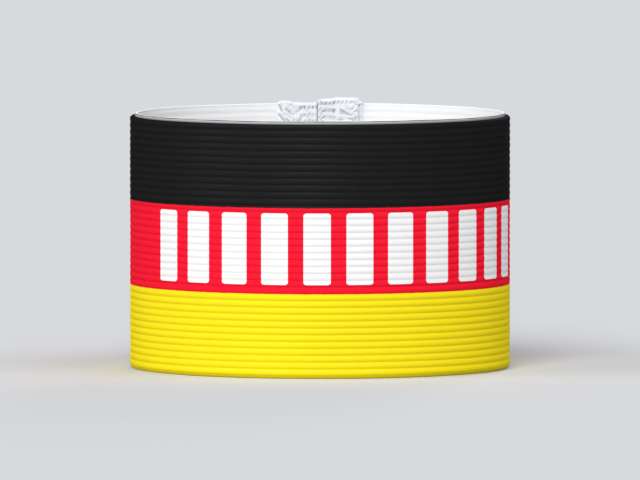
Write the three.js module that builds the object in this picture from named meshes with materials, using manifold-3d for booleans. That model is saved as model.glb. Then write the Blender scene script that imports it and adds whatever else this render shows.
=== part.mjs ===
// An elastic armband of the kind a team captain wears round the upper arm, standing on its lower edge.
// A ribbed band, printed in three stripes, closes in a ring round a plain white inner band whose two
// edges peep out past it. The closing seam is at the back, and two white tapes cover it on the inside:
// they are gathered by the thread that holds them, and their tops stand a little above the rim.
// Units are millimetres, +Z is up, and the front is towards -Y. The origin is the centre of the foot.
import * as THREE from "three";
import { mergeVertices, toCreasedNormals } from "three/addons/utils/BufferGeometryUtils.js";
import Module from "manifold-3d";

const wasm = await Module();
wasm.setup();

// Ribbed band: the coloured face of the armband.
const outerDiameter = 98; // over the crests of the ribs
const ribCount = 37;
const ribPitch = 1.75; // from one crest to the next
const ribDepth = 0.3; // from crest to groove
const bandWall = 0.75; // cloth left behind a groove

// Inner band: the white layer that touches the sleeve.
const layerGap = 0.3; // between the inner band and the ribbed band
const innerWall = 0.8;
const innerAbove = 0.85; // how far its top edge stands above the ribbed band
const innerBelow = 0.25; // how far its foot stands below the ribbed band

// Closing seam at the back.
const seamOffset = -1; // the seam's place left or right of the middle of the back
const seamGrooveWidth = 1;
const seamWeb = 0.35; // cloth left behind the groove where the two ends are joined

// Seam tapes: both are alike but for the width, the rise above the rim and the outline of the top.
const tapeThickness = 1;
const tapeGap = 0.3; // between a tape and the wall behind it
const tapeSplit = 0.3; // between the two tapes, over the seam
const tapeFoot = 0.5; // height of a tape's lower edge above the foot of the armband
const leftTapeWidth = 10.2;
const rightTapeWidth = 12.2;
const leftTapeRise = 0.9; // highest point of the tape above the inner band's top edge
const rightTapeRise = 1.65;

// Gathers: the tape puffs inwards between its stitched edges, in slanting folds.
const gatherDepth = 0.55;
const gatherCount = 18; // folds from the tape's foot to its top
const gatherSlant = 0.45; // folds that one gather climbs across the width of its tape

// The top outline of each tape: across is a share of its width, from the seam to its free edge,
// and rise a share of its greatest rise.
const leftTapeTop = [
  { across: 0, rise: 0.4 },
  { across: 0.45, rise: 0.45 },
  { across: 0.75, rise: 1 },
  { across: 1, rise: 0.55 },
];
const rightTapeTop = [
  { across: 0, rise: 0.55 },
  { across: 0.2, rise: 0.75 },
  { across: 0.45, rise: 0.97 },
  { across: 0.86, rise: 1 },
  { across: 1, rise: 0.3 },
];

// Facets.
const ringSegments = 44; // a multiple of 4, so that the ring reaches its full width on both axes
const tapeColumns = 6;
const rowsPerGather = 4;

const stripeColours = [0xf9e31c, 0xf4122f, 0x1c1c1d]; // from the foot up
const white = 0xf3f4f7;
const tapeWhite = 0xe9ecf3;

// Sizes that follow.
const crestRadius = outerDiameter / 2;
const grooveRadius = crestRadius - ribDepth;
const bandInnerRadius = grooveRadius - bandWall;
const innerOuterRadius = bandInnerRadius - layerGap;
const innerInnerRadius = innerOuterRadius - innerWall;
const bandHeight = ribCount * ribPitch;
const bandFoot = innerBelow;
const bandTop = bandFoot + bandHeight;
const rimHeight = bandTop + innerAbove; // top edge of the inner band
const facetShare = Math.cos(Math.PI / ringSegments); // a facet's middle is nearer the axis than its corners
const tapeRadius = innerInnerRadius * facetShare - tapeGap; // the side of a tape that faces the wall
const seamAngle = Math.PI / 2 - seamOffset / tapeRadius;

// A closed geometry as a solid that can be cut.
function toSolid(geometry) {
  const bare = geometry.clone();
  bare.deleteAttribute("normal");
  bare.deleteAttribute("uv");
  const merged = mergeVertices(bare, 1e-4);
  return new wasm.Manifold(
    new wasm.Mesh({
      numProp: 3,
      vertProperties: merged.attributes.position.array,
      triVerts: new Uint32Array(merged.index.array),
    }),
  );
}

// A solid as a geometry that can be drawn.
function toGeometry(solid) {
  const { vertProperties, triVerts } = solid.getMesh();
  const geometry = new THREE.BufferGeometry();
  geometry.setAttribute("position", new THREE.BufferAttribute(vertProperties, 3));
  geometry.setIndex(new THREE.BufferAttribute(triVerts, 1));
  return geometry;
}

// A ring round +Z, turned from a closed outline of [radius, height] points.
function ring(outline) {
  const points = [...outline, outline[0]].map(([radius, height]) => new THREE.Vector2(radius, height));
  return new THREE.LatheGeometry(points, ringSegments).rotateX(Math.PI / 2);
}

function ribbedOutline() {
  const outline = [
    [bandInnerRadius, bandFoot],
    [grooveRadius, bandFoot],
  ];
  for (let rib = 0; rib < ribCount; rib++) {
    const start = bandFoot + rib * ribPitch;
    outline.push([crestRadius, start + ribPitch / 2], [grooveRadius, start + ribPitch]);
  }
  outline.push([bandInnerRadius, bandTop]);
  return outline;
}

// The V-shaped groove down the back, where the ribbed band's two ends meet.
function seamGroove() {
  const past = ribPitch; // how far the cutter runs past the cloth
  const tip = bandInnerRadius + seamWeb;
  const slope = seamGrooveWidth / 2 / (crestRadius - tip);
  const mouth = crestRadius + past;
  const halfMouth = slope * (mouth - tip);
  const section = new THREE.Shape([
    new THREE.Vector2(tip, 0),
    new THREE.Vector2(mouth, -halfMouth),
    new THREE.Vector2(mouth, halfMouth),
  ]);
  return new THREE.ExtrudeGeometry(section, { depth: bandHeight + 2 * past, bevelEnabled: false })
    .translate(0, 0, bandFoot - past)
    .rotateZ(seamAngle);
}

// Each triangle of the ribbed band takes the colour of the stripe that its middle lies in.
function paintStripes(geometry) {
  const painted = geometry.index ? geometry.toNonIndexed() : geometry;
  const place = painted.attributes.position;
  const colours = new Float32Array(place.count * 3);
  const topStripe = stripeColours.length - 1;
  for (let corner = 0; corner < place.count; corner += 3) {
    const middle = (place.getZ(corner) + place.getZ(corner + 1) + place.getZ(corner + 2)) / 3;
    const stripe = Math.floor(((middle - bandFoot) / bandHeight) * stripeColours.length);
    const colour = new THREE.Color(stripeColours[THREE.MathUtils.clamp(stripe, 0, topStripe)]);
    for (let i = corner; i < corner + 3; i++) {
      colour.toArray(colours, i * 3);
    }
  }
  return painted.setAttribute("color", new THREE.BufferAttribute(colours, 3));
}

function ribbedBand() {
  const cut = toSolid(ring(ribbedOutline())).subtract(toSolid(seamGroove()));
  return paintStripes(toGeometry(cut));
}

function innerBand() {
  return ring([
    [innerInnerRadius, 0],
    [innerOuterRadius, 0],
    [innerOuterRadius, rimHeight],
    [innerInnerRadius, rimHeight],
  ]);
}

// The height of a tape's top edge, at a share of its width.
function topAt(outline, rise, across) {
  const next = Math.max(
    1,
    outline.findIndex((point) => point.across >= across),
  );
  const [low, high] = [outline[next - 1], outline[next]];
  const share = (across - low.across) / (high.across - low.across);
  return rimHeight + rise * THREE.MathUtils.lerp(low.rise, high.rise, share);
}

// How far a gather stands in from the wall: nothing along the two stitched edges.
function gatherAt(across, up) {
  const fold = 0.5 - 0.5 * Math.cos(2 * Math.PI * (gatherCount * up - gatherSlant * across));
  return gatherDepth * fold * Math.sin(Math.PI * across);
}

// One tape: a thin block, bent to the wall, with its top cut to the outline and its face gathered.
// side is 1 for the tape to the right of the seam, seen from the front, and -1 for the left one.
function seamTape(side, width, rise, outline) {
  const rows = gatherCount * rowsPerGather;
  const block = new THREE.BoxGeometry(1, 1, 1, tapeColumns, rows, 1).translate(0, 0.5, 0.5);
  const place = block.attributes.position;
  for (let i = 0; i < place.count; i++) {
    const across = 0.5 + side * place.getX(i);
    const up = place.getY(i);
    const inward = place.getZ(i) * tapeThickness + gatherAt(across, up);
    const radius = tapeRadius - inward;
    const angle = seamAngle - (side * (tapeSplit / 2 + across * width)) / tapeRadius;
    const height = THREE.MathUtils.lerp(tapeFoot, topAt(outline, rise, across), up);
    place.setXYZ(i, radius * Math.cos(angle), radius * Math.sin(angle), height);
  }
  return block;
}

const creaseAngle = THREE.MathUtils.degToRad(20); // sharper edges than this are drawn sharp

function piece(name, geometry, look) {
  const mesh = new THREE.Mesh(toCreasedNormals(geometry, creaseAngle), new THREE.MeshStandardMaterial(look));
  mesh.name = name;
  return mesh;
}

const armband = new THREE.Group();
armband.name = "armband";
armband.add(
  piece("ribbed_band", ribbedBand(), { vertexColors: true, roughness: 0.8, metalness: 0 }),
  piece("inner_band", innerBand(), { color: white, roughness: 0.9, metalness: 0 }),
  piece("seam_tape_left", seamTape(-1, leftTapeWidth, leftTapeRise, leftTapeTop), {
    color: tapeWhite,
    roughness: 0.85,
    metalness: 0,
  }),
  piece("seam_tape_right", seamTape(1, rightTapeWidth, rightTapeRise, rightTapeTop), {
    color: tapeWhite,
    roughness: 0.85,
    metalness: 0,
  }),
);

export default armband;
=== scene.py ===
# %% [markdown]
# # A captain's armband in Blender
# The real thing is a short tube of elastic cloth. Its face is a tape with about three dozen rounded
# ribs that run round the arm, dyed in three stripes. Inside it lies a plain white layer, whose two
# edges peep out, and at the back two white tapes cover the closing seam.
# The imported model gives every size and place, in metres, with +Z up and the front towards -Y. This
# lesson dresses it: each plain solid is replaced by a finer piece that fills the same space.

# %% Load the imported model
import math

import bmesh
import bpy
import numpy as np
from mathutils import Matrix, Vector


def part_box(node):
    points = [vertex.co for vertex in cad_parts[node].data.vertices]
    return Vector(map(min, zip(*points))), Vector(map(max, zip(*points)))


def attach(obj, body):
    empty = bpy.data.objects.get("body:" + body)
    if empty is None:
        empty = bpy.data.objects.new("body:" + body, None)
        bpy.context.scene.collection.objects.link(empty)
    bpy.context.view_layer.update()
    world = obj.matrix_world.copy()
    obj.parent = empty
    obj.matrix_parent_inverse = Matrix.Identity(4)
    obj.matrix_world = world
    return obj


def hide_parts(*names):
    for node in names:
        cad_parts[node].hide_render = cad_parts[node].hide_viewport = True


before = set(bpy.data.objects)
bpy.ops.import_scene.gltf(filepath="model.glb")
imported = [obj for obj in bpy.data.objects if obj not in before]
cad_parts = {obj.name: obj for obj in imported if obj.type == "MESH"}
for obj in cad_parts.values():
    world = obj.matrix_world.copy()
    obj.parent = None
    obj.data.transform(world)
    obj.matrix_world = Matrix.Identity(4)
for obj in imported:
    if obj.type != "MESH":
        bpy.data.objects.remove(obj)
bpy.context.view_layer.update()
print("packed nodes:", sorted(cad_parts))

# %% [markdown]
# ## Sizes
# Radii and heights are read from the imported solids, so that the dressed armband stays where they are.
# Only the closing seam and the widths of its two tapes differ, by up to 0.3 mm, where a closer look put
# them. The fine sizes of the cloth, which the solids don't hold, are named where they are first needed.
# They are written in millimetres times MM, which reads better than 0.00174.

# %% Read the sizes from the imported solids
MM = 0.001
band_low, band_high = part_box("ribbed_band")
layer_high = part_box("inner_band")[1]

CREST_RADIUS = band_high.x  # outer radius, over the crests of the ribs
BAND_FOOT = band_low.z
TOP_STRETCH = 0.06 * MM  # the dyed face reaches a little higher than the solid behind it
BAND_HEIGHT = band_high.z - band_low.z + TOP_STRETCH
LAYER_RADIUS = layer_high.x  # outer radius of the white layer
LAYER_WALL = 0.8 * MM
RIM_HEIGHT = layer_high.z  # top edge of the white layer, at the front
BACK_RISE = 0.17 * MM  # how much higher that edge stands at the back

SEAM_OFFSET = -0.7 * MM  # how far left of the middle of the back the closing seam lies
SEAM_ANGLE = math.pi / 2 - SEAM_OFFSET / (LAYER_RADIUS - LAYER_WALL)
FRONT_ANGLE = -math.pi / 2
print(f"ring {2 * CREST_RADIUS / MM:.1f} mm across, tape {BAND_HEIGHT / MM:.2f} mm high")

# %% [markdown]
# ## Sums in a node tree
# The ribs, the printed bars and the weave are all formulas, and a formula drawn with Math nodes is
# long to build by hand. This small class lets a socket be used like a number: each sign in the Python
# line makes one Math node. It serves geometry trees and shader trees alike, since both have that node.


# %% Fields that can be added and multiplied
class Field:
    """A socket of a node tree, used in sums as if it were a number."""

    def __init__(self, socket):
        self.tree = socket.id_data
        self.socket = socket

    def math(self, operation, *others):
        step = self.tree.nodes.new("ShaderNodeMath")
        step.operation = operation
        for socket, value in zip(step.inputs, (self, *others)):
            plug(value, socket)
        return Field(step.outputs[0])

    def __add__(self, other):
        return self.math("ADD", other)

    def __sub__(self, other):
        return self.math("SUBTRACT", other)

    def __mul__(self, other):
        return self.math("MULTIPLY", other)

    def __truediv__(self, other):
        return self.math("DIVIDE", other)

    def __pow__(self, other):
        return self.math("POWER", other)

    def __rsub__(self, other):
        return self * -1 + other

    __radd__ = __add__

    def clamp(self):
        return self.math("MAXIMUM", 0).math("MINIMUM", 1)

    def bell(self, width):
        """One where the field is nought, falling away smoothly over the width."""
        share = self / width
        return (share * share * -1).math("EXPONENT")


def plug(value, socket):
    """Puts a field, another node's socket or a plain value into a socket."""
    if isinstance(value, Field):
        value = value.socket
    if isinstance(value, bpy.types.NodeSocket):
        socket.id_data.links.new(value, socket)
    else:
        socket.default_value = value


def add_node(tree, kind, inputs=None, **settings):
    """Adds a node, with its settings and with values or links for its inputs."""
    made = tree.nodes.new(kind)
    for name, value in settings.items():
        setattr(made, name, value)
    for name, value in (inputs or {}).items():
        plug(value, made.inputs[name])
    return made


def add(*node, **settings):
    """Adds a node and returns its first output."""
    return add_node(*node, **settings).outputs[0]


SHARP_ANGLE = math.radians(70)  # sharper edges than this are drawn sharp
NUMBER = "NodeSocketFloat"
VECTOR = "NodeSocketVector"
SHAPE = "NodeSocketGeometry"
SOCKETS = {int: "NodeSocketInt", float: NUMBER, bpy.types.Material: "NodeSocketMaterial"}


def new_group(kind, name, inputs, outputs):
    """A node group with named sockets. Each input is given as its default value, or as a bare kind."""
    tree = bpy.data.node_groups.new(name, kind)
    for label, value in inputs.items():
        socket_type = SOCKETS.get(type(value), value)
        socket = tree.interface.new_socket(label, in_out="INPUT", socket_type=socket_type)
        if not isinstance(value, str):
            socket.default_value = value
    for label, socket_type in outputs.items():
        tree.interface.new_socket(label, in_out="OUTPUT", socket_type=socket_type)
    entry = tree.nodes.new("NodeGroupInput")
    fields = {label: Field(entry.outputs[label]) for label in inputs}
    return tree, fields, tree.nodes.new("NodeGroupOutput")


def noise(place, scale, detail=2.0):
    """Smooth noise around 0.5, read at a place. The scale is in features for each metre."""
    made = add(place.tree, "ShaderNodeTexNoise", {"Vector": place, "Scale": scale, "Detail": detail})
    return Field(made)


def new_object(name, data):
    """Puts an object with this data into the scene."""
    made = bpy.data.objects.new(name, data)
    bpy.context.scene.collection.objects.link(made)
    return made


def new_material(name):
    """A material, with its tree and its shader."""
    material = bpy.data.materials.new(name)
    material.use_nodes = True
    return material, material.node_tree, material.node_tree.nodes["Principled BSDF"]


def grow(name, tree, values, start=None):
    """Runs a geometry tree once and keeps what it makes as a plain mesh.

    The tree's own defaults stand for every input that isn't among the values.
    """
    seedling = new_object(name + "_seedling", start or bpy.data.meshes.new(name + "_seedling"))
    modifier = seedling.modifiers.new(name, "NODES")
    modifier.node_group = tree
    for item in tree.interface.items_tree:
        if item.item_type == "SOCKET" and item.in_out == "INPUT" and item.name in values:
            modifier[item.identifier] = values[item.name]
    depsgraph = bpy.context.evaluated_depsgraph_get()
    ready = seedling.evaluated_get(depsgraph)
    mesh = bpy.data.meshes.new_from_object(ready, preserve_all_data_layers=True, depsgraph=depsgraph)
    seedling.modifiers.remove(modifier)
    bpy.data.objects.remove(seedling)
    return show(name, mesh)


def show(name, mesh):
    """Puts a finished mesh into the scene, smooth but for its sharp edges."""
    mesh.name = name
    mesh.shade_smooth()
    mesh.set_sharp_from_angle(angle=SHARP_ANGLE)
    piece = new_object(name, mesh)
    mesh.calc_loop_triangles()
    print(f"{name}: {len(mesh.loop_triangles)} triangles")
    return piece


print("helpers for node trees are ready")

# %% [markdown]
# ## Camera, floor and light
# The camera stands four metres away with a very long lens and looks down by about three degrees, so
# the ring's ellipses come out flat, as in a catalogue picture. The main light is soft and stands just
# left of the camera, two weaker ones fill the left and the right, and a bluish one behind the armband
# draws a pale line along its right edge. They are suns, because suns light the floor evenly, and no
# lamp can stand in a view.

# %% Camera
PICTURE_WIDTH = 640  # pixels
SENSOR_WIDTH = 36.0  # mm
FOCAL_PIXELS = 15541.6  # this and the next three were fitted to the ellipses of the two rims
CAMERA_DISTANCE = 4.0
CAMERA_HEIGHT = BAND_FOOT + 0.2610
CAMERA_PITCH = math.radians(3.267)

camera = new_object("camera", bpy.data.cameras.new("camera"))
camera.data.sensor_width = SENSOR_WIDTH
camera.data.lens = FOCAL_PIXELS * SENSOR_WIDTH / PICTURE_WIDTH
camera.location = (0, -CAMERA_DISTANCE, CAMERA_HEIGHT)
camera.rotation_euler = (math.pi / 2 - CAMERA_PITCH, 0, 0)
bpy.context.scene.camera = camera
bpy.context.scene.view_settings.view_transform = "Standard"
print(f"camera lens {camera.data.lens:.0f} mm")

# %% Light
LIGHTS = {  # strength, azimuth, elevation and spread
    "front_light": (2.27, -10, 36, 30),
    "left_light": (0.95, -70, 26, 36),
    "right_light": (0.80, 60, 60, 40),
    "edge_light": (0.60, 165, 20, 16),
}
EDGE_COLOUR = (0.80, 0.90, 1.0)
WORLD_COLOUR = (0.93, 0.96, 1.0, 1)
WORLD_STRENGTH = 0.25


def soft_sun(name, strength, azimuth, elevation, spread):
    """A wide, soft light. Its azimuth counts in degrees from the front, and is negative to the left."""
    light = bpy.data.lights.new(name, "SUN")
    light.energy = strength
    light.angle = math.radians(spread)
    turn = (math.pi / 2 - math.radians(elevation), 0, math.radians(azimuth))
    new_object(name, light).rotation_euler = turn
    return light


suns = {name: soft_sun(name, *settings) for name, settings in LIGHTS.items()}
suns["edge_light"].color = EDGE_COLOUR
world = bpy.data.worlds.new("studio")
world.use_nodes = True
backdrop = world.node_tree.nodes["Background"]
plug(WORLD_COLOUR, backdrop.inputs["Color"])
plug(WORLD_STRENGTH, backdrop.inputs["Strength"])
bpy.context.scene.world = world
print("lights:", sorted(suns))

# %% Floor
FLOOR_HALF = 7.0
FLOOR_COLOUR = (0.64, 0.645, 0.655, 1)

corners = [(x * FLOOR_HALF, y * FLOOR_HALF, 0) for x, y in ((-1, -1), (1, -1), (1, 1), (-1, 1))]
floor_mesh = bpy.data.meshes.new("floor")
floor_mesh.from_pydata(corners, [], [(0, 1, 2, 3)])
floor = new_object("floor", floor_mesh)
floor_material, tree, shader = new_material("studio_floor")
plug(FLOOR_COLOUR, shader.inputs["Base Color"])
plug(0.95, shader.inputs["Roughness"])
plug(0.0, shader.inputs["Specular IOR Level"])
floor_mesh.materials.append(floor_material)
print("floor laid")

# %% [markdown]
# ## Where a point lies on the cloth
# Every finish of the armband follows the cloth: how far round the ring a point is, and how high. Both
# come from the Object coordinates by a formula, so no piece needs an unwrapping, and the pattern has
# no join except at the back seam, where the real cloth has one too. The group is built once, and all
# the materials use it.

# %% Shader group: place on the cloth
place_group, place_in, place_out = new_group(
    "ShaderNodeTree",
    "cloth_place",
    {"Radius": CREST_RADIUS},
    {"Around": NUMBER, "Height": NUMBER, "Point": VECTOR},
)
object_point = add_node(place_group, "ShaderNodeTexCoord").outputs["Object"]
split_point = add_node(place_group, "ShaderNodeSeparateXYZ", {"Vector": object_point})
point_x, point_y, point_z = (Field(socket) for socket in split_point.outputs)
plug(point_x.math("ARCTAN2", point_y * -1) * place_in["Radius"], place_out.inputs["Around"])
plug(point_z, place_out.inputs["Height"])
plug(object_point, place_out.inputs["Point"])
print("group:", place_group.name)

# %% [markdown]
# ## Knitted loops
# Seen close, the elastic is knitted: fine columns of loops run up the tape, each loop a small V. The
# chevrons come from one sum: the height, pushed up by the distance from the middle of the column.
# A cell texture would give blobs of any shape, and a picture would show its pixels, so the formula is
# the better way. Noise keeps the rows from looking machined.

# %% Shader group: knitted loops
SWAY_SCALE = 900.0  # how often the columns sway, in features for each metre
FIBRE_SCALE = 2600.0
CHEVRON_RISE = 1.4  # how steeply the V of a loop rises from the middle of its column

knit_group, knit_in, knit_out = new_group(
    "ShaderNodeTree",
    "knitted_loops",
    {
        "Around": NUMBER,
        "Height": NUMBER,
        "Point": VECTOR,
        "Column Pitch": 0.36 * MM,
        "Loop Pitch": 0.30 * MM,
        "Unevenness": 0.5,
    },
    {"Relief": NUMBER, "Tone": NUMBER},
)
sway = (noise(knit_in["Point"], SWAY_SCALE) - 0.5) * knit_in["Unevenness"]
column = knit_in["Around"] / knit_in["Column Pitch"] + sway
from_middle = (column.math("FRACT") - 0.5).math("ABSOLUTE")
loop = (knit_in["Height"] / knit_in["Loop Pitch"] + from_middle * CHEVRON_RISE + sway).math("FRACT")
loop_crown = (loop * math.pi).math("SINE")
column_crown = 1 - (from_middle * 2) ** 3
knit_relief = column_crown * (loop_crown * 0.55 + 0.45)
fibre_tone = noise(knit_in["Point"], FIBRE_SCALE, 4.0)
plug(knit_relief, knit_out.inputs["Relief"])
# The second output is lower between the loops, so the materials paint shade there; a random tone of the
# fibres is mixed in.
plug(knit_relief * 0.6 + fibre_tone * 0.4, knit_out.inputs["Tone"])
print("group:", knit_group.name)

# %% [markdown]
# ## Handling marks
# Cloth that has been handled is never one even colour. This group gives broad, faint patches, a few
# centimetres wide, and fine lint. The materials vary their colour and their roughness with both.
# Noise does it without a picture, and at any scale.

# %% Shader group: handling marks
wear_group, wear_in, wear_out = new_group(
    "ShaderNodeTree",
    "handling_marks",
    {"Point": VECTOR, "Patches per Metre": 33.0, "Lint per Metre": 1250.0},
    {"Patches": NUMBER, "Lint": NUMBER},
)
patches = noise(wear_in["Point"], wear_in["Patches per Metre"])
lint_noise = noise(wear_in["Point"], wear_in["Lint per Metre"], 5.0)
plug(((patches - 0.35) * 3.3).clamp(), wear_out.inputs["Patches"])
plug(((lint_noise - 0.6) * 6).clamp(), wear_out.inputs["Lint"])
print("group:", wear_group.name)

# %% [markdown]
# ## The cloth materials
# One function lays the base that all the cloths share: place, loops, marks, and a bump that follows the
# loops. Each material then says what its own colour is. The white cloths also have a soft sheen, for
# the fibres that stand off the surface. The dyed face has none, because it would make the outline of
# the black stripe glow.
# The ribs are shallow in the mesh, as the smooth outline of the real band shows, so a second bump
# deepens their shading. It reads how deep a point lies in a groove, which is stored on the mesh. The
# colours also hold painted shade: the grooves, the folds, the stitch holes and the space between the
# loops are painted darker.


# %% Helpers for materials
SHEEN_TINT = (0.95, 0.97, 1.0, 1)
SHEEN_ROUGHNESS = 0.45


def mix(share, first, second):
    """The first colour where the share is nought, the second where it is one."""
    made = share.tree.nodes.new("ShaderNodeMix")
    made.data_type = "RGBA"
    plug(share, made.inputs[0])
    plug(first, made.inputs[6])
    plug(second, made.inputs[7])
    return made.outputs[2]


def shade(colour, strength):
    """A colour made lighter or darker."""
    made = strength.tree.nodes.new("ShaderNodeVectorMath")
    made.operation = "SCALE"
    if isinstance(colour, tuple):
        colour = colour[:3]
    plug(colour, made.inputs["Vector"])
    plug(strength, made.inputs["Scale"])
    return made.outputs["Vector"]


def deepen(shader, height, distance):
    """Lays a second bump over the shader's first one."""
    first = shader.inputs["Normal"].links[0].from_socket
    inputs = {"Height": height, "Strength": 1.0, "Distance": distance, "Normal": first}
    bump = add(shader.id_data, "ShaderNodeBump", inputs)
    plug(bump, shader.inputs["Normal"])


def groove_and_shade(tree):
    """The value stored on the mesh as its groove: how deep a point lies in a groove on the dyed face and
    the print, and its share of painted shade on the white layer and the tapes.
    """
    return Field(add_node(tree, "ShaderNodeAttribute", attribute_name="groove").outputs["Fac"])


def use(tree, group, inputs):
    """Places a shader group and returns its outputs as fields."""
    made = add_node(tree, "ShaderNodeGroup", inputs, node_tree=group)
    return {socket.name: Field(socket) for socket in made.outputs}


def cloth_base(name, radius, column, loop, bump, sheen=0.0, gloss=0.03, rough=0.92):
    """A cloth material without its colour, and the fields that its colour can use.

    Column and loop are the pitches of the knitting, and bump is how far its loops stand out.
    """
    material, tree, shader = new_material(name)
    place = use(tree, place_group, {"Radius": radius})
    wear = use(tree, wear_group, {"Point": place["Point"]})
    knit = use(tree, knit_group, {
        "Around": place["Around"],
        "Height": place["Height"],
        "Point": place["Point"],
        "Column Pitch": column,
        "Loop Pitch": loop,
    })
    relief = add(tree, "ShaderNodeBump", {"Height": knit["Relief"], "Strength": 1.0, "Distance": bump})
    plug(relief, shader.inputs["Normal"])
    plug(rough - knit["Tone"] * 0.12 - wear["Patches"] * 0.05, shader.inputs["Roughness"])
    plug(sheen, shader.inputs["Sheen Weight"])
    plug(SHEEN_ROUGHNESS, shader.inputs["Sheen Roughness"])
    plug(SHEEN_TINT, shader.inputs["Sheen Tint"])
    plug(gloss, shader.inputs["Specular IOR Level"])
    return material, tree, shader, {**place, **wear, **knit}


print("helpers for materials are ready")

# %% Printed elastic
YELLOW_TOP = BAND_FOOT + 21.57 * MM
RED_TOP = BAND_FOOT + 43.52 * MM
YELLOW_INK = (0.90, 0.730, 0.0135, 1)
RED_INK = (0.90, 0.0118, 0.034, 1)
BLACK_INK = (0.0108, 0.0108, 0.0112, 1)
LINT_GREY = (0.6, 0.6, 0.62, 1)
LINT_SHARE = 0.012
LOOP_SHADE = 0.06  # painted shade between the loops, with a random tone of the fibres
PATCH_SHADE = 0.03
EDGE_BLUR = 0.10 * MM  # how softly one ink ends
EDGE_SCALE = 700.0  # how often that edge wavers, in features for each metre
EDGE_WAVER = 0.25 * MM
RIB_BUMP = 0.185 * MM
# painted shade in the grooves of the ribs and in the seam valley
PAINTED_GROOVE_SHADE = 0.03
BLACK_PAINTED_SHADE = 0.32  # more painted shade in the grooves, where the cloth is black
FOOT_PAINTED_SHADE_HEIGHT = 0.9 * MM  # painted shade where the cloth turns under at the foot
FOOT_PAINTED_SHADE = 0.45
BLACK_GLOSS = 0.16  # black dye leaves a faint gloss, which fades where the cloth turns away
GLOSS_FADE = 1.3

printed, tree, shader, cloth = cloth_base(
    "printed_elastic", CREST_RADIUS, column=0.36 * MM, loop=0.29 * MM, bump=0.02 * MM,
    gloss=0.004, rough=0.75,
)
ragged = (noise(cloth["Point"], EDGE_SCALE, 3.0) - 0.5) * EDGE_WAVER
past_yellow = ((cloth["Height"] + ragged - YELLOW_TOP) / EDGE_BLUR + 0.5).clamp()
past_red = ((cloth["Height"] + ragged - RED_TOP) / EDGE_BLUR + 0.5).clamp()
ink = mix(past_yellow, YELLOW_INK, RED_INK)
ink = mix(past_red, ink, BLACK_INK)
depth = groove_and_shade(tree)
deepen(shader, 1 - depth, RIB_BUMP)
# Painted shade: the grooves, the seam valley, the turned-under foot and the space between the loops are
# darkened. The patches are handling marks.
foot_shade_mask = (1 - (cloth["Height"] - BAND_FOOT) / FOOT_PAINTED_SHADE_HEIGHT).clamp()
painted_shade_and_wear = depth * (PAINTED_GROOVE_SHADE + past_red * BLACK_PAINTED_SHADE) + foot_shade_mask * FOOT_PAINTED_SHADE
painted_shade_and_wear = painted_shade_and_wear + (1 - cloth["Tone"]) * LOOP_SHADE + cloth["Patches"] * PATCH_SHADE
ink = shade(ink, 1.02 - painted_shade_and_wear)
ink = mix(cloth["Lint"] * LINT_SHARE, ink, LINT_GREY)
plug(ink, shader.inputs["Base Color"])
facing = Field(add_node(tree, "ShaderNodeLayerWeight", {"Blend": 0.5}).outputs["Facing"])
plug(past_red * (1 - facing * GLOSS_FADE).clamp() * BLACK_GLOSS, shader.inputs["Coat Weight"])
plug(0.40, shader.inputs["Coat Roughness"])
print("material:", printed.name)

# %% White elastic
WHITE = (0.93, 0.933, 0.94, 1)
WHITE_PAINTED_SHADE = (0.02, 0.021, 0.024, 1)

plain, tree, shader, cloth = cloth_base(
    "white_elastic", LAYER_RADIUS, column=0.30 * MM, loop=0.34 * MM, bump=0.04 * MM, sheen=0.05
)
# Painted shade: the stored share darkens the pressed line under the rim, the strip of woven edge and the
# grooves inside, towards a near black.
cream = mix(groove_and_shade(tree).clamp(), WHITE, WHITE_PAINTED_SHADE)
cream = shade(cream, 1.0 - (1 - cloth["Tone"]) * 0.03 - cloth["Patches"] * 0.015)
plug(cream, shader.inputs["Base Color"])
print("material:", plain.name)

# %% Seam tape
TAPE_WHITE = (0.915, 0.93, 0.965, 1)
TAPE_PAINTED_SHADE = (0.27, 0.295, 0.345, 1)

tape_cloth, tree, shader, cloth = cloth_base(
    "seam_tape", LAYER_RADIUS, column=0.28 * MM, loop=0.42 * MM, bump=0.06 * MM, sheen=0.08
)
# Painted shade: grooves, folds and stitch holes are mixed towards a bluish grey.
tint = mix(groove_and_shade(tree).clamp(), TAPE_WHITE, TAPE_PAINTED_SHADE)
tint = shade(tint, 1.0 - (1 - cloth["Tone"]) * 0.06)
plug(tint, shader.inputs["Base Color"])
print("material:", tape_cloth.name)

# %% Sewing thread
THREAD_WHITE = (0.82, 0.83, 0.85, 1)
PLY_PITCH = 0.22 * MM

thread, tree, shader = new_material("sewing_thread")
place = use(tree, place_group, {"Radius": LAYER_RADIUS})
wear = use(tree, wear_group, {"Point": place["Point"]})
twist = ((place["Height"] + place["Around"] * 0.6) / PLY_PITCH * math.tau).math("SINE")
ply = add(tree, "ShaderNodeBump", {"Height": twist, "Strength": 0.6, "Distance": 0.02 * MM})
plug(ply, shader.inputs["Normal"])
# The colour follows the twist, a little darker between the plies: painted shade.
plug(shade(THREAD_WHITE, 0.96 + twist * 0.04), shader.inputs["Base Color"])
plug(0.55 - wear["Lint"] * 0.1, shader.inputs["Roughness"])
plug(0.2, shader.inputs["Sheen Weight"])
print("material:", thread.name)

# %% Bar print
PRINT_WHITE = (0.87, 0.865, 0.868, 1)
FILM_BUMP = RIB_BUMP * 0.6  # the film evens the ribs out

film, tree, shader, cloth = cloth_base(
    "bar_print", CREST_RADIUS, column=0.36 * MM, loop=0.29 * MM, bump=0.008 * MM, gloss=0.35
)
depth = groove_and_shade(tree)
deepen(shader, 1 - depth, FILM_BUMP)
# Painted shade: the film is a little darker over the grooves.
ink = shade(PRINT_WHITE, 1.0 - depth * 0.10 - cloth["Patches"] * 0.015)
plug(ink, shader.inputs["Base Color"])
plug(0.50 + cloth["Patches"] * 0.08 - cloth["Lint"] * 0.05, shader.inputs["Roughness"])
print("material:", film.name)
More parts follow.
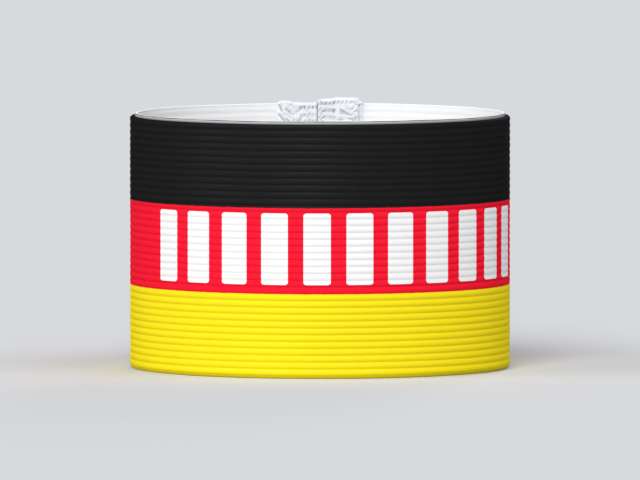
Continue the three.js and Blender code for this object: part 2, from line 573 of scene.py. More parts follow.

# %% [markdown]
# ## The face of the ribbed cloth
# In such elastic, thick cords of rubber run round the tape, and the knitting between them pulls in, so
# each rib is broad and round and each groove narrow. The section of a rib is a sine wave lifted to a
# power below one, which widens the crest and pinches the groove.
# Two pieces need this face: the cloth itself and the printed bars that lie on it. So the rule is one
# node group, which turns a place on the flat tape into a point in space. A texture bump could fake the
# ribs, but they show in the outline and in the mesh, so they are real.

# %% Node group: a point on the ribbed cloth
ROWS_PER_RIB = 8
FACE_ROWS = 298  # rows of facets from the foot of the tape to its top
ROW_HEIGHT = BAND_HEIGHT / FACE_ROWS
RIB_PITCH = ROW_HEIGHT * ROWS_PER_RIB
FIRST_GROOVE = ROW_HEIGHT * 3
RIB_FULLNESS = 0.85  # below one, the crest is broad and the groove narrow
FOOT_TURN = 1.20 * MM  # height of the part of the foot that turns under
TOP_TURN = 0.45 * MM
TOP_TURN_SHARE = 0.7  # the top turns in less than the foot
WAVE_SCALE = 45.0  # how often the surface waves in and out, in features for each metre
LEAN_SCALE = 28.0  # how often the ribs stray up and down
WAVE_SHIFT = 0.02 * MM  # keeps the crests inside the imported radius

CLOTH_SIZES = {
    "Crest Radius": CREST_RADIUS,
    "Foot": BAND_FOOT,
    "Band Height": BAND_HEIGHT,
    "Rib Pitch": RIB_PITCH,
    "First Groove": FIRST_GROOVE,
    "Rib Depth": 0.13 * MM,
    "Seam Depth": 0.70 * MM,
    "Seam Width": 0.42 * MM,
    "Turned Edge": 0.45 * MM,
    "Waviness": 0.12 * MM,
}


def around_axis(radius, angle, height):
    """The point at this radius, angle and height."""
    parts = {"X": radius * angle.math("COSINE"), "Y": radius * angle.math("SINE"), "Z": height}
    return Field(add(radius.tree, "ShaderNodeCombineXYZ", parts))


face_group, face_in, face_out = new_group(
    "GeometryNodeTree",
    "point_on_ribs",
    {"Turn": NUMBER, "Height": NUMBER, "Lift": NUMBER, "Fill": NUMBER, **CLOTH_SIZES},
    {"Point": VECTOR, "Groove": NUMBER},
)
phase = ((face_in["Height"] - face_in["First Groove"]) / face_in["Rib Pitch"]).math("MAXIMUM", 0)
groove = 1 - (phase * math.pi).math("SINE").math("ABSOLUTE") ** RIB_FULLNESS
from_seam = math.pi - (face_in["Turn"] - math.pi).math("ABSOLUTE")
pinch = (from_seam * face_in["Crest Radius"]).bell(face_in["Seam Width"])
foot_share = (1 - face_in["Height"] / FOOT_TURN).clamp()
top_share = (1 - (face_in["Band Height"] - face_in["Height"]) / TOP_TURN).clamp()
turned = (foot_share ** 2 + top_share ** 2 * TOP_TURN_SHARE) * face_in["Turned Edge"]
ribbing = groove * (1 - pinch) * face_in["Rib Depth"] * (1 - face_in["Fill"])
angle = face_in["Turn"] + SEAM_ANGLE
smooth_point = around_axis(face_in["Crest Radius"], angle, face_in["Height"])
wave = (noise(smooth_point, WAVE_SCALE) - 0.5) * face_in["Waviness"]
lean = (noise(smooth_point, LEAN_SCALE) - 0.5) * face_in["Waviness"]
inset = ribbing + pinch * face_in["Seam Depth"] + turned - wave + WAVE_SHIFT
radius = face_in["Crest Radius"] - inset + face_in["Lift"]
height = face_in["Foot"] + face_in["Height"] + lean
plug(around_axis(radius, angle, height), face_out.inputs["Point"])
# The seam valley is stored as a full groove, so the materials bump it and paint shade in it.
plug(groove + pinch * (1 - groove), face_out.inputs["Groove"])


def on_ribs(tree, sizes, inputs):
    """Places the group in a tree whose own inputs give the sizes of the cloth."""
    inputs = {**{label: sizes[label] for label in CLOTH_SIZES}, **inputs}
    made = add_node(tree, "GeometryNodeGroup", inputs, node_tree=face_group)
    return Field(made.outputs["Point"]), Field(made.outputs["Groove"])


def position(tree):
    """The three coordinates of a point, before it is moved."""
    place = add(tree, "GeometryNodeInputPosition")
    split = add_node(tree, "ShaderNodeSeparateXYZ", {"Vector": place})
    return [Field(socket) for socket in split.outputs]


def store_groove(tree, geometry, depth):
    """Stores on the mesh how deep each point lies in a groove, for the materials to read."""
    inputs = {"Geometry": geometry, "Name": "groove", "Value": depth}
    return add(tree, "GeometryNodeStoreNamedAttribute", inputs, data_type="FLOAT", domain="POINT")


def end_tree(tree, geometry, material, group_out):
    """Ends a tree in real geometry that wears its material."""
    real = add(tree, "GeometryNodeRealizeInstances", {"Geometry": geometry})
    dyed = add(tree, "GeometryNodeSetMaterial", {"Geometry": real, "Material": material})
    plug(dyed, group_out.inputs[0])


print(f"rib pitch {RIB_PITCH / MM:.3f} mm")

# %% [markdown]
# ## The ribbed band
# The band starts as a flat grid. Its columns are bent round the arm, and its rows go up the face and
# down the back, so that the last row meets the first. The columns stand closer together near the
# seam, where a narrow valley has to be drawn. Merge by Distance closes the two joins.

# %% Tree: ribbed band
MERGE_REACH = 0.01 * MM

BAND_VALUES = {
    "Columns": 256,
    "Face Rows": FACE_ROWS,
    "Back Rows": 6,
    "Back Radius": LAYER_RADIUS + 0.13 * MM,
    "Crowding": 0.88,
    "Material": printed,
    **CLOTH_SIZES,
}
tree, band_in, band_out = new_group(
    "GeometryNodeTree", "ribbed_band", BAND_VALUES, {"Geometry": SHAPE}
)
row_count = band_in["Face Rows"] + band_in["Back Rows"] + 2
grid = add(tree, "GeometryNodeMeshGrid", {
    "Size X": 1.0,
    "Size Y": 1.0,
    "Vertices X": band_in["Columns"] + 1,
    "Vertices Y": row_count,
})
flat_x, flat_y = position(tree)[:2]
lap = (flat_x + 0.5) * math.tau
row = ((flat_y + 0.5) * (row_count - 1)).math("ROUND")
row = row * (1 - (row + 1.5).math("GREATER_THAN", row_count))
turn = lap - lap.math("SINE") * band_in["Crowding"]
face_height = row.math("MINIMUM", band_in["Face Rows"]) / band_in["Face Rows"] * band_in["Band Height"]
face_point, groove = on_ribs(tree, band_in, {"Turn": turn, "Height": face_height})
back_share = (row - band_in["Face Rows"] - 1) / (band_in["Back Rows"] - 1)
back_height = band_in["Foot"] + (1 - back_share) * band_in["Band Height"]
back_point = around_axis(band_in["Back Radius"], turn + SEAM_ANGLE, back_height)
is_back = row.math("GREATER_THAN", band_in["Face Rows"] + 0.5)
places = {"Switch": is_back, "False": face_point, "True": back_point}
place = add(tree, "GeometryNodeSwitch", places, input_type="VECTOR")
marked = store_groove(tree, grid, groove * (1 - is_back))
bent = add(tree, "GeometryNodeSetPosition", {"Geometry": marked, "Position": place})
closed = add(tree, "GeometryNodeMergeByDistance", {"Geometry": bent, "Distance": MERGE_REACH})
end_tree(tree, closed, band_in["Material"], band_out)

band = grow("ribbed_band_cloth", tree, BAND_VALUES)
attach(band, "root")
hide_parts("ribbed_band")

# %% [markdown]
# ## Printed bars
# The print is a thin white film pressed onto the finished elastic: a row of plain upright bars. Each
# bar starts as a thin box cut into many small faces. Instances put a row of boxes in a line, and the
# group from above then wraps them onto the ribs, a hair above the cloth. The film bridges part of each
# groove, as a pressed film does, and its corners are rounded. A stripe in the cloth's own material
# would be simpler, but a film has an edge that catches the light.

# %% Tree: printed bars
BAR_FIRST_ROW = 110
BAR_ROWS = 84
BOX_SPACING = 2.0  # between the boxes, before they are wrapped
FILM_ROOT = 0.05 * MM  # how far the film's back lies inside the cloth

BAR_VALUES = {
    "Bars": 11,
    "Bar Width": 7.0 * MM,
    "Bar Pitch": 11.0 * MM,
    "Bar Foot": BAR_FIRST_ROW * ROW_HEIGHT,
    "Bar Height": BAR_ROWS * ROW_HEIGHT,
    "Corner Radius": 0.7 * MM,
    "Film": 0.06 * MM,
    "Bridging": 0.4,
    "Middle Angle": math.radians(12),
    "Columns": 15,
    "Rows": BAR_ROWS + 1,
    "Material": film,
    **CLOTH_SIZES,
}
tree, bar_in, bar_out = new_group(
    "GeometryNodeTree", "printed_bars", BAR_VALUES, {"Geometry": SHAPE}
)
line = add(tree, "GeometryNodeMeshLine", {"Count": bar_in["Bars"], "Offset": (BOX_SPACING, 0, 0)})
box = add(tree, "GeometryNodeMeshCube", {
    "Size": (1, 1, 1),
    "Vertices X": bar_in["Columns"],
    "Vertices Y": 2,
    "Vertices Z": bar_in["Rows"],
})
boxes = add(tree, "GeometryNodeInstanceOnPoints", {"Points": line, "Instance": box})
real = add(tree, "GeometryNodeRealizeInstances", {"Geometry": boxes})
flat_x, flat_y, flat_z = position(tree)
bar_number = (flat_x / BOX_SPACING).math("ROUND")
from_bar = flat_x - bar_number * BOX_SPACING
from_end = (0.5 - flat_z.math("ABSOLUTE")) * bar_in["Bar Height"]
short = (bar_in["Corner Radius"] - from_end).math("MAXIMUM", 0)
corner_square = bar_in["Corner Radius"] ** 2 - short ** 2
drawn_in = bar_in["Corner Radius"] - corner_square.math("MAXIMUM", 0).math("SQRT")
bar_middle = (bar_number - (bar_in["Bars"] - 1) * 0.5) * bar_in["Bar Pitch"]
along = bar_middle + from_bar * (bar_in["Bar Width"] - drawn_in * 2)
turn = along / bar_in["Crest Radius"] + bar_in["Middle Angle"] + (FRONT_ANGLE - SEAM_ANGLE + math.tau)
outside = flat_y.math("LESS_THAN", 0)
film_point, groove = on_ribs(tree, bar_in, {
    "Turn": turn,
    "Height": bar_in["Bar Foot"] + (flat_z + 0.5) * bar_in["Bar Height"],
    "Lift": outside * bar_in["Film"] - (1 - outside) * FILM_ROOT,
    "Fill": outside * bar_in["Bridging"],
})
marked = store_groove(tree, real, groove)
bent = add(tree, "GeometryNodeSetPosition", {"Geometry": marked, "Position": film_point})
end_tree(tree, bent, bar_in["Material"], bar_out)

bars = grow("printed_bars", tree, BAR_VALUES)
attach(bars, "root")

# %% [markdown]
# ## The white layer
# The layer that touches the sleeve is knitted with the same ribs, but flatter, and it is a little
# longer than the face, so that its rim shows above the stripes and its foot below them. It is turned
# from one section: up the outside, over the rounded rim, down the ribbed inside, and out at the foot
# in a thin hem. Just under the rim a thin line is pressed in, where the woven edge begins. That line
# is painted near black, the strip of woven edge below it is painted grey that deepens towards the
# stripes, and the grooves inside are painted a little darker: all of this is painted shade. A Screw
# modifier could turn the section too, but in code the rim can also wave, and rise towards the back.


# %% Helpers for meshes made from points
def shell_from(name, points, faces, painted_shade_values, material):
    """A piece with faces that point outwards and with its share of painted shade stored on it as its
    groove value.
    """
    mesh = bpy.data.meshes.new(name)
    mesh.from_pydata(points.tolist(), [], faces)
    shell = bmesh.new()
    shell.from_mesh(mesh)
    bmesh.ops.recalc_face_normals(shell, faces=shell.faces)
    shell.to_mesh(mesh)
    shell.free()
    mesh.attributes.new("groove", "FLOAT", "POINT").data.foreach_set("value", painted_shade_values)
    mesh.materials.append(material)
    return show(name, mesh)


def soft_noise(across, up, step, seed):
    """Smooth noise from -1 to 1 over a plane, with a new random value at every step."""
    cells = 96
    values = np.random.default_rng(seed).uniform(-1, 1, (cells, cells))
    x = np.asarray(across) / step + 7.3
    y = np.asarray(up) / step + 11.9
    left = np.floor(x).astype(int)
    low = np.floor(y).astype(int)
    share_x = x - left
    share_y = y - low
    share_x = share_x * share_x * (3 - 2 * share_x)
    share_y = share_y * share_y * (3 - 2 * share_y)

    def value(i, j):
        return values[(left + i) % cells, (low + j) % cells]

    bottom = value(0, 0) * (1 - share_x) + value(1, 0) * share_x
    top = value(0, 1) * (1 - share_x) + value(1, 1) * share_x
    return bottom * (1 - share_y) + top * share_y


def bell(gap, width, power=2):
    """One where the gap is nought, falling away smoothly over the width."""
    return np.exp(-((gap / width) ** power))


def rib_groove(height):
    """How deep a point lies between two ribs, from nought on a crest to one in a groove."""
    phase = (height - BAND_FOOT - FIRST_GROOVE) / RIB_PITCH
    return 1 - np.abs(np.sin(np.pi * phase)) ** RIB_FULLNESS


print("helpers for meshes are ready")

# %% White layer
LAYER_COLUMNS = 240
RIB_RELIEF = 0.12 * MM
RIM_ROUND = 0.30 * MM
SELVEDGE_HEIGHT = 0.92 * MM  # the woven edge that shows above the stripes
SELVEDGE_DEPTH = 0.12 * MM
SELVEDGE_LINE = 0.14 * MM  # the pressed line's place below the rim
SELVEDGE_LINE_WIDTH = 0.14 * MM
# painted shade: the strip of woven edge below the pressed line is painted grey
STRIP_PAINTED_SHADE = 0.45
STRIP_SHADE_GROWTH = 0.58 / MM  # how fast that painted shade deepens towards the stripes
STRIP_SHADE_START = 0.38 * MM  # the place below the rim where that begins
HEM_WIDTH = 0.70 * MM  # the foot turns out below the dyed face
HEM_THICKNESS = 0.17 * MM
# painted shade in the grooves of the inside
INSIDE_PAINTED_SHADE = 0.04
INSIDE_ROWS = 186

inner_radius = LAYER_RADIUS - LAYER_WALL
wall_middle = LAYER_RADIUS - LAYER_WALL / 2
section = []  # rows of: radius, height, share of the pressed line, grey of the painted shade
for z in np.linspace(RIM_ROUND, RIM_HEIGHT - 1.2 * MM, 12):
    section.append((LAYER_RADIUS, z, 0.0, 0.0))
# Painted shade: the pressed line is painted near black, and the strip below it grey, deeper towards the
# stripes.
for z in np.linspace(RIM_HEIGHT - 1.1 * MM, RIM_HEIGHT - 0.04 * MM, 28):
    below_rim = RIM_HEIGHT - z
    press = bell(below_rim - SELVEDGE_LINE, SELVEDGE_LINE_WIDTH)
    grey = STRIP_PAINTED_SHADE + STRIP_SHADE_GROWTH * max(below_rim - STRIP_SHADE_START, 0)
    if below_rim > SELVEDGE_HEIGHT:
        grey = 0.0
    section.append((LAYER_RADIUS - SELVEDGE_DEPTH * press, z, press, grey))
for bend in np.linspace(0.30, 0.85, 6) * math.pi:
    rim_z = RIM_HEIGHT - RIM_ROUND * (1 - math.sin(bend))
    section.append((wall_middle + LAYER_WALL / 2 * math.cos(bend), rim_z, 0.0, 0.0))
for z in np.linspace(RIM_HEIGHT - RIM_ROUND, RIM_ROUND, INSIDE_ROWS):
    depth = float(rib_groove(z))
    section.append((inner_radius + RIB_RELIEF * depth, z, 0.0, depth * INSIDE_PAINTED_SHADE))
for bend in np.linspace(0.85, 0.5, 4) * math.pi:
    foot_z = RIM_ROUND * (1 - math.sin(bend))
    section.append((wall_middle + LAYER_WALL / 2 * math.cos(bend), foot_z, 0.0, 0.0))
for bend in np.linspace(-0.5, 0.5, 5) * math.pi:
    hem_radius = LAYER_RADIUS + HEM_WIDTH + HEM_THICKNESS / 2 * math.cos(bend)
    section.append((hem_radius, HEM_THICKNESS / 2 * (1 + math.sin(bend)), 0.0, 0.0))
section.append((LAYER_RADIUS + 0.04 * MM, HEM_THICKNESS, 0.0, 0.0))

section = np.array(section)
turns = np.arange(LAYER_COLUMNS) / LAYER_COLUMNS * math.tau
radius, height, press, grey = section.T[:, :, None]
wave = 0.02 * np.sin(5 * turns + 1.0) + 0.015 * np.sin(11 * turns + 0.4) + 0.01 * np.sin(23 * turns)
lift = MM * wave + BACK_RISE * np.maximum(np.sin(turns), 0)
height = height + lift * height / RIM_HEIGHT
points = np.stack([radius * np.cos(turns), radius * np.sin(turns), height], axis=-1).reshape(-1, 3)
broken = 1.0 + 0.2 * soft_noise(turns * LAYER_RADIUS, 0 * turns, 2.5 * MM, 12)
greys = np.maximum(press * broken, grey)
number = np.arange(len(points)).reshape(height.shape)
above = np.roll(number, -1, axis=0)
quads = [number, above, np.roll(above, -1, axis=1), np.roll(number, -1, axis=1)]
faces = np.stack(quads, axis=-1).reshape(-1, 4).tolist()
layer = shell_from("inner_band_cloth", points, faces, greys.ravel(), plain)
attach(layer, "root")
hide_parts("inner_band")

# %% [markdown]
# ## The seam tapes
# At the back, the raw ends are covered by two strips that lie left and right of the seam. They are
# sewn down along both sides, and the thread draws them together, so the cloth between the two
# rows puffs up and creases at a slant. Each strip is a grid of points for its face and one for its
# back, closed at the rim. The face adds up what happened to the cloth: its ribs, the puffing, the
# slanting gathers and the pull of every stitch. Its grooves, folds and stitch holes are also painted
# a bluish grey: painted shade. A cloth simulation would find folds of its own, while folds that are
# laid one by one can be put where they were seen.

# %% Sizes of the tapes
TAPE_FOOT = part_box("seam_tape_left")[0].z
TAPE_WALL = 1.0 * MM
TAPE_BACK = inner_radius - 0.06 * MM
TAPE_SPLIT = 0.05 * MM  # from the seam to the nearer edge of each tape
PUFF = 0.40 * MM
OVERLOCK_STEP = 1.12 * MM  # from one stitch of the top edge to the next
OVERLOCK_DEPTH = 1.25 * MM  # from the top edge down to its needle holes
ZIGZAG_STEP = 0.80 * MM
ZIGZAG_WIDTH = 0.90 * MM
TAPE_RIB = 1.77 * MM  # from one rib of a tape to the next
TAPE_COLUMN = 1.06 * MM  # from one coarse column of loops to the next
FIRST_COLUMN = 0.13 * MM
SEAM_PART = 5.2 * MM  # the ribs are clear up to here, and faint beyond
SCALLOP = 0.15 * MM  # how far the top edge dips between two stitches
RIB_SINK = 0.15 * MM
STITCH_SINK = 0.30 * MM  # how far a stitch pulls the face in
RIDGE = 0.10 * MM
THINNEST = 0.25 * MM  # what is left of a tape where it is pulled in most
BACK_RIM = RIM_HEIGHT + BACK_RISE

# Apart from the width, lengths inside a tape are plain mm: from its edge at the seam or, for heights,
# from the rim at the back.
# side: 1 for the tape right of the seam, seen from the front, and -1 for the left one
# top: the top outline, as (share of the width, height)
# rows: the places of the two rows of zigzag
# tick_slant, tick_fade: how the needle marks under the top edge lean, and where they fade away
# ribs: (height of one groove, depth and painted shade of the grooves, depth and painted shade of the loops
# in them)
# ridge: the place of a small upright ridge
# seed: picks the random unevenness of the face
TAPES = {
    "left": {
        "side": -1,
        "width": 10.45 * MM,
        "top": [(0, 0.5), (0.03, 0.25), (0.21, 0.18), (0.37, 0.2), (0.5, 0.33), (0.61, 0.52), (0.71, 0.72),
                (0.8, 0.8), (0.9, 0.72), (0.97, 0.55), (1, 0.38)],
        "rows": [2.4, 6.7],
        "tick_slant": -0.55,
        "tick_fade": 4.8,
        "ribs": (-3.0, 0.26, 0.75),
        "ridge": 8.2,
        "seed": 4,
    },
    "right": {
        "side": 1,
        "width": 11.95 * MM,
        "top": [(0, 0.6), (0.03, 0.85), (0.1, 1.2), (0.25, 1.3), (0.33, 1.4), (0.41, 1.62), (0.6, 1.58),
                (0.88, 1.6), (0.97, 0.45), (1, 0.25)],
        "rows": [1.3, 9.9],
        "tick_slant": 0.25,
        "tick_fade": 40.0,
        "ribs": (-1.9, 0.80, 0.10),
        "ridge": 5.75,
        "seed": 9,
    },
}


def closed_pad(front, back):
    """Points and faces of a closed pad between two grids of points of the same size."""
    rows, columns = front.shape[:2]
    points = np.concatenate([front.reshape(-1, 3), back.reshape(-1, 3)])
    number = np.arange(rows * columns).reshape(rows, columns)
    faces = []
    for grid in (number, number[:, ::-1] + rows * columns):
        quads = [grid[:-1, :-1], grid[:-1, 1:], grid[1:, 1:], grid[1:, :-1]]
        faces += np.stack(quads, axis=-1).reshape(-1, 4).tolist()
    rim = np.concatenate([number[0, :-1], number[:-1, -1], number[-1, :0:-1], number[:0:-1, 0]]).tolist()
    for here, there in zip(rim, rim[1:] + rim[:1]):
        faces.append([there, here, here + rows * columns, there + rows * columns])
    return points, faces


def along_fold(distance, height, fold):
    """One along a fold from start to end, fading away over its width, which changes on the way."""
    start, end, width_start, width_end = fold
    run = np.subtract(end, start)
    share = ((distance - start[0]) * run[0] + (height - start[1]) * run[1]) / (run @ run)
    share = np.clip(share, 0, 1)
    gap = np.hypot(distance - start[0] - share * run[0], height - start[1] - share * run[1])
    return bell(gap, width_start + share * (width_end - width_start))


print("helpers for the tapes are ready")


# %% Folds of the tapes
# Each fold: its start and its end, its width at the start and at the end, and its depth, all in mm.
# Heights count from the rim at the back.
def left_folds():
    """Creases that run down from the free edge to the row of stitches, and a slanting hollow past it."""
    chance = np.random.default_rng(21)
    folds = []
    low = -0.45
    while low > -62:
        shift = chance.uniform(-0.15, 0.15, 4)
        lean = 0.8 + 0.7 * (len(folds) % 2)
        folds += [
            ((10.2, low), (10.2 - lean, low - 1.75 + shift[0]), 0.27, 0.20, 0.40),
            ((8.4, low - 1.1), (7.1, low - 2.2 + shift[1]), 0.20, 0.26, 0.32),
            ((5.4, low - 2.05 + shift[2]), (3.6, low - 0.3 + shift[3]), 0.38, 0.38, 0.19),
        ]
        low -= 2.5 + chance.uniform(-0.2, 0.25)
    return folds


def right_folds():
    """Wedge-shaped folds, wide at the middle of the tape and closed at the row of stitches."""
    chance = np.random.default_rng(22)
    folds = []
    low = -1.9
    while low > -62:
        shift = chance.uniform(-0.2, 0.2, 4)
        folds += [
            ((6.25, low), (9.0, low - 1.2 + shift[0]), 0.28, 0.12, 0.36),
            ((6.30, low - 0.35), (8.6, low - 1.15 + shift[0]), 0.34, 0.14, 0.30),
            ((6.25, low - 0.75), (9.1, low - 1.25 + shift[0]), 0.36, 0.12, 0.30),
            ((7.7, low + 0.7), (9.2, low + 0.2), 0.30, 0.30, 0.17),
            ((4.35, low - 0.1), (4.35, low - 0.5 + shift[1]), 0.34, 0.34, 0.24),
            ((5.8, low - 2.3 + shift[2]), (6.8, low - 2.45), 0.30, 0.26, 0.24),
            ((8.5, low - 2.2), (10.2, low - 2.5 + shift[3]), 0.24, 0.30, 0.24),
            ((11.1, low + 1.0), (11.1, low - 2.6), 0.40, 0.40, 0.27),
        ]
        low -= 3.9 + chance.uniform(-0.3, 0.3)
    return folds


TAPES["left"]["folds"] = left_folds()
TAPES["right"]["folds"] = right_folds()


def top_of(tape, distance):
    """Height of a tape's top edge, at a distance from the seam."""
    knots, heights = zip(*tape["top"])
    smooth = np.interp(distance / tape["width"], knots, heights) * MM
    scallop = 1 - np.abs(np.sin(np.pi * distance / OVERLOCK_STEP))
    return BACK_RIM + smooth - SCALLOP * scallop


def rib_shade(tape, distance, height):
    """How deep each point lies between the tape's own ribs, and between its columns of loops."""
    groove_height, groove_dark, column_dark = tape["ribs"]
    rib_turn = math.tau * (height - BACK_RIM - groove_height * MM) / TAPE_RIB
    columns = (0.5 + 0.5 * np.cos(math.tau * (distance - FIRST_COLUMN) / TAPE_COLUMN)) ** 3
    near_seam = 0.3 + 0.7 * np.clip((SEAM_PART - distance) / (0.8 * MM), 0, 1)
    groove = near_seam * (0.5 + 0.5 * np.cos(rib_turn)) * (groove_dark + column_dark * columns)
    return groove * (0.8 + 0.4 * soft_noise(distance, height, 1.3 * MM, tape["seed"] + 1))


def fold_dip(tape, distance, height):
    """How deep each point lies in the tape's folds, in mm."""
    dip = np.zeros_like(height)
    for start, end, width_start, width_end, depth in tape["folds"]:
        ends = [np.array(point) * MM + (0, BACK_RIM) for point in (start, end)]
        fold = (*ends, width_start * MM, width_end * MM)
        dip = np.maximum(dip, depth * along_fold(distance, height, fold))
    return dip


def stitch_pull(tape, distance, height, below_top):
    """How strongly the needle holes pull each point in, from nought to one."""
    pull = np.zeros_like(height)
    beat = height / ZIGZAG_STEP
    nearest = np.round(beat)
    hole_side = np.where(nearest % 2 == 0, 0.5, -0.5) * ZIGZAG_WIDTH
    for row in tape["rows"]:
        hole = bell(distance - row * MM - hole_side, 0.2 * MM)
        pull = np.maximum(pull, hole * bell((beat - nearest) * ZIGZAG_STEP, 0.22 * MM))
    tick = (distance - tape["tick_slant"] * (OVERLOCK_DEPTH - below_top)) / OVERLOCK_STEP
    tick = bell((tick - np.round(tick)) * OVERLOCK_STEP, 0.17 * MM)
    tick = tick * bell(below_top - OVERLOCK_DEPTH, 0.44 * MM, power=4)
    return np.maximum(0.8 * pull, tick * bell(distance, tape["tick_fade"] * MM))


def tape_face(tape, distance, height):
    """How far the face stands in from the back of the tape, and how much painted shade each point gets."""
    top = top_of(tape, distance)
    seam_side = np.clip(distance / (0.3 * MM), 0, 1)
    free_side = np.clip((tape["width"] - distance) / (0.7 * MM), 0, 1)
    ends = np.clip(np.minimum(height - TAPE_FOOT, top - height) / (0.8 * MM), 0, 1)
    rounding = seam_side * free_side * ends
    body = TAPE_WALL * (0.45 + 0.55 * np.sqrt(np.clip(1 - (1 - rounding) ** 2, 0, 1)))
    puff = PUFF * np.sin(np.pi * distance / tape["width"])
    puff = puff * (0.7 + 0.3 * soft_noise(distance, height, 3.1 * MM, 5))
    crumple = 0.07 * MM * soft_noise(distance, height, 0.75 * MM, tape["seed"])
    ridge = RIDGE * bell(distance - tape["ridge"] * MM, 0.3 * MM)
    groove = rib_shade(tape, distance, height)
    dip = fold_dip(tape, distance, height)
    pull = stitch_pull(tape, distance, height, top - height)
    face = body + puff + crumple + ridge - RIB_SINK * groove - dip * MM - STITCH_SINK * pull
    # Painted shade: the grooves, folds and stitch holes are darkened.
    painted_shade_share = np.clip(0.64 * groove + 1.42 * dip + 0.42 * pull, 0, 1)
    return np.maximum(face, THINNEST), painted_shade_share


def tape_place(tape, distance, height, inward):
    """The point at a distance from the seam, a height, and a distance inwards from the tape's back."""
    angle = SEAM_ANGLE - tape["side"] * (TAPE_SPLIT + distance) / TAPE_BACK
    radius = TAPE_BACK - inward
    parts = np.broadcast_arrays(radius * np.cos(angle), radius * np.sin(angle), height)
    return np.stack(parts, axis=-1)


print("folds:", {side: len(tape["folds"]) for side, tape in TAPES.items()})

# %% Seam tapes
TAPE_COLUMNS = 76
FINE_ROWS = 80  # rows in the top part, which shows over the rim
COARSE_ROWS = 240
FINE_SHARE = 0.15  # share of the height that the fine rows take

rise = np.concatenate([
    np.linspace(0, 1 - FINE_SHARE, COARSE_ROWS, endpoint=False),
    np.linspace(1 - FINE_SHARE, 1, FINE_ROWS),
])[:, None]
for side_name, tape in TAPES.items():
    distance = np.linspace(0, tape["width"], TAPE_COLUMNS)[None, :] * np.ones_like(rise)
    height = TAPE_FOOT + rise * (top_of(tape, distance) - TAPE_FOOT)
    face, painted_shade_share = tape_face(tape, distance, height)
    front = tape_place(tape, distance, height, face)
    back = tape_place(tape, distance, height, 0.0)
    name = f"seam_tape_{side_name}_cloth"
    points, faces = closed_pad(front, back)
    painted_shade_share = np.concatenate([painted_shade_share.ravel(), painted_shade_share.ravel()])
    strip = shell_from(name, points, faces, painted_shade_share, tape_cloth)
    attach(strip, "root")
    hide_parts("seam_tape_" + side_name)

# %% [markdown]
# ## Stitches
# Two kinds of stitches hold the tapes: zigzags that run up each tape, and an overlock that wraps the
# raw top edge. The outer zigzag of each tape goes through both bands, so it shows on the outside too.
# One node tree builds both kinds: a path, points on it at the length of a stitch, and a short bowed
# piece of thread on each point. A zigzag leans its pieces one way and the other by turns. Drawing each
# thread as a curve in Python would work too, but the tree takes a new stitch length by changing one
# number.

# %% Tree: a row of stitches
STITCH_VALUES = {
    "Stitch Length": 1.0 * MM,
    "Step": 1.0 * MM,
    "Slant": 0.0,
    "Alternate": 1.0,
    "Thread": 0.26 * MM,
    "Bow": 0.16 * MM,
    "Root": 0.10 * MM,
    "Outward": 1.0,
    "Sides": 6,
    "Material": thread,
}
stitch_tree, stitch_in, stitch_out = new_group(
    "GeometryNodeTree", "row_of_stitches", {"Path": SHAPE, **STITCH_VALUES}, {"Geometry": SHAPE}
)
tree = stitch_tree
path = add(tree, "GeometryNodeMeshToCurve", {"Mesh": stitch_in["Path"]})
stops = add(tree, "GeometryNodeResampleCurve", {
    "Curve": path,
    "Length": stitch_in["Step"],
}, mode="LENGTH")
half_length = stitch_in["Stitch Length"] * 0.5
rooted = stitch_in["Root"] * -1
thread_ends = {}
for label, side, lift in (("Start", -1, rooted), ("Middle", 0, stitch_in["Bow"] * 2), ("End", 1, rooted)):
    parts = {"X": half_length * side, "Z": lift}
    thread_ends[label] = add(tree, "ShaderNodeCombineXYZ", parts)
bow = add(tree, "GeometryNodeCurveQuadraticBezier", {"Resolution": 6, **thread_ends})
round_thread = add(tree, "GeometryNodeCurvePrimitiveCircle", {
    "Resolution": stitch_in["Sides"],
    "Radius": stitch_in["Thread"] * 0.5,
})
stitch = add(tree, "GeometryNodeCurveToMesh", {
    "Curve": bow,
    "Profile Curve": round_thread,
    "Fill Caps": True,
})
path_x, path_y = position(tree)[:2]
away = {"X": path_x * stitch_in["Outward"], "Y": path_y * stitch_in["Outward"]}
upright = add(tree, "FunctionNodeAxesToRotation", {
    "Primary Axis": add(tree, "ShaderNodeCombineXYZ", away),
    "Secondary Axis": add(tree, "GeometryNodeInputTangent"),
}, primary_axis="Z", secondary_axis="X")
stop_number = Field(add_node(tree, "GeometryNodeSplineParameter").outputs["Index"])
by_turns = 1 - stop_number.math("MODULO", 2) * stitch_in["Alternate"] * 2
lean = add(tree, "ShaderNodeCombineXYZ", {"Z": stitch_in["Slant"] * by_turns})
turned = add(tree, "FunctionNodeRotateRotation", {
    "Rotation": upright,
    "Rotate By": add(tree, "FunctionNodeEulerToRotation", {"Euler": lean}),
}, rotation_space="LOCAL")
stitches = add(tree, "GeometryNodeInstanceOnPoints", {
    "Points": stops,
    "Instance": stitch,
    "Rotation": turned,
})
end_tree(tree, stitches, stitch_in["Material"], stitch_out)
print("tree:", stitch_tree.name)


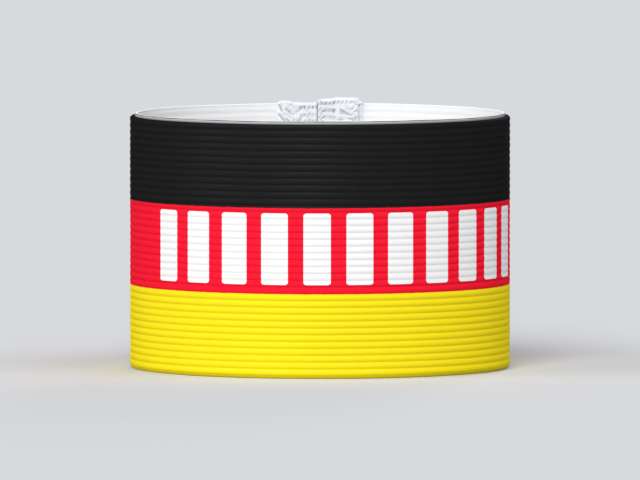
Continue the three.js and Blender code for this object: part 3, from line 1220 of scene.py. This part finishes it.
# %% Rows of stitches
def path_mesh(name, lines):
    """A mesh of edges only, one chain for each line of points."""
    points = []
    edges = []
    for line in lines:
        edges += [(len(points) + i, len(points) + i + 1) for i in range(len(line) - 1)]
        points += line.tolist()
    mesh = bpy.data.meshes.new(name)
    mesh.from_pydata(points, edges, [])
    return mesh


def sew(name, lines, **values):
    """Sews a row of stitches along each line."""
    path = path_mesh(name + "_path", lines)
    row = grow(name, stitch_tree, {**STITCH_VALUES, **values}, start=path)
    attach(row, "root")


ZIGZAG = {
    "Step": ZIGZAG_STEP,
    "Stitch Length": math.hypot(ZIGZAG_STEP, ZIGZAG_WIDTH),
    "Slant": math.atan2(ZIGZAG_WIDTH, ZIGZAG_STEP),
}
OVERLOCK = {
    "Step": OVERLOCK_STEP,
    "Stitch Length": OVERLOCK_DEPTH * 0.95,
    "Slant": math.radians(72),
    "Alternate": 0.0,
}
ABOVE_TAPE = 0.15 * MM  # the middle of a zigzag's thread lies this far off the tape
IN_RIBS = 0.1 * MM  # and this far inside the crests of the ribs

up = np.arange(TAPE_FOOT + 1.2 * MM, RIM_HEIGHT - 1.6 * MM, ZIGZAG_STEP / 2)
outside_up = up[(up > BAND_FOOT + MM) & (up < BAND_FOOT + BAND_HEIGHT - MM)]
inside_lines = []
outside_lines = []
edge_lines = []
for tape in TAPES.values():
    for row in tape["rows"]:
        inside_lines.append(tape_place(tape, row * MM, up, TAPE_WALL + ABOVE_TAPE))
    outer_row = tape["rows"][1] * MM
    outside_lines.append(tape_place(tape, outer_row, outside_up, TAPE_BACK - CREST_RADIUS + IN_RIBS))
    across = np.arange(OVERLOCK_STEP / 2, tape["width"] - 0.4 * MM, OVERLOCK_STEP / 4)
    level = top_of(tape, across) - OVERLOCK_DEPTH * 0.45
    edge_lines.append(tape_place(tape, across, level, TAPE_WALL * 0.95))

sew("zigzag_inside", inside_lines, Outward=-1.0, **ZIGZAG)
sew("zigzag_outside", outside_lines, Outward=1.0, **ZIGZAG)
sew("overlock_top", edge_lines, Outward=-1.0, **OVERLOCK)
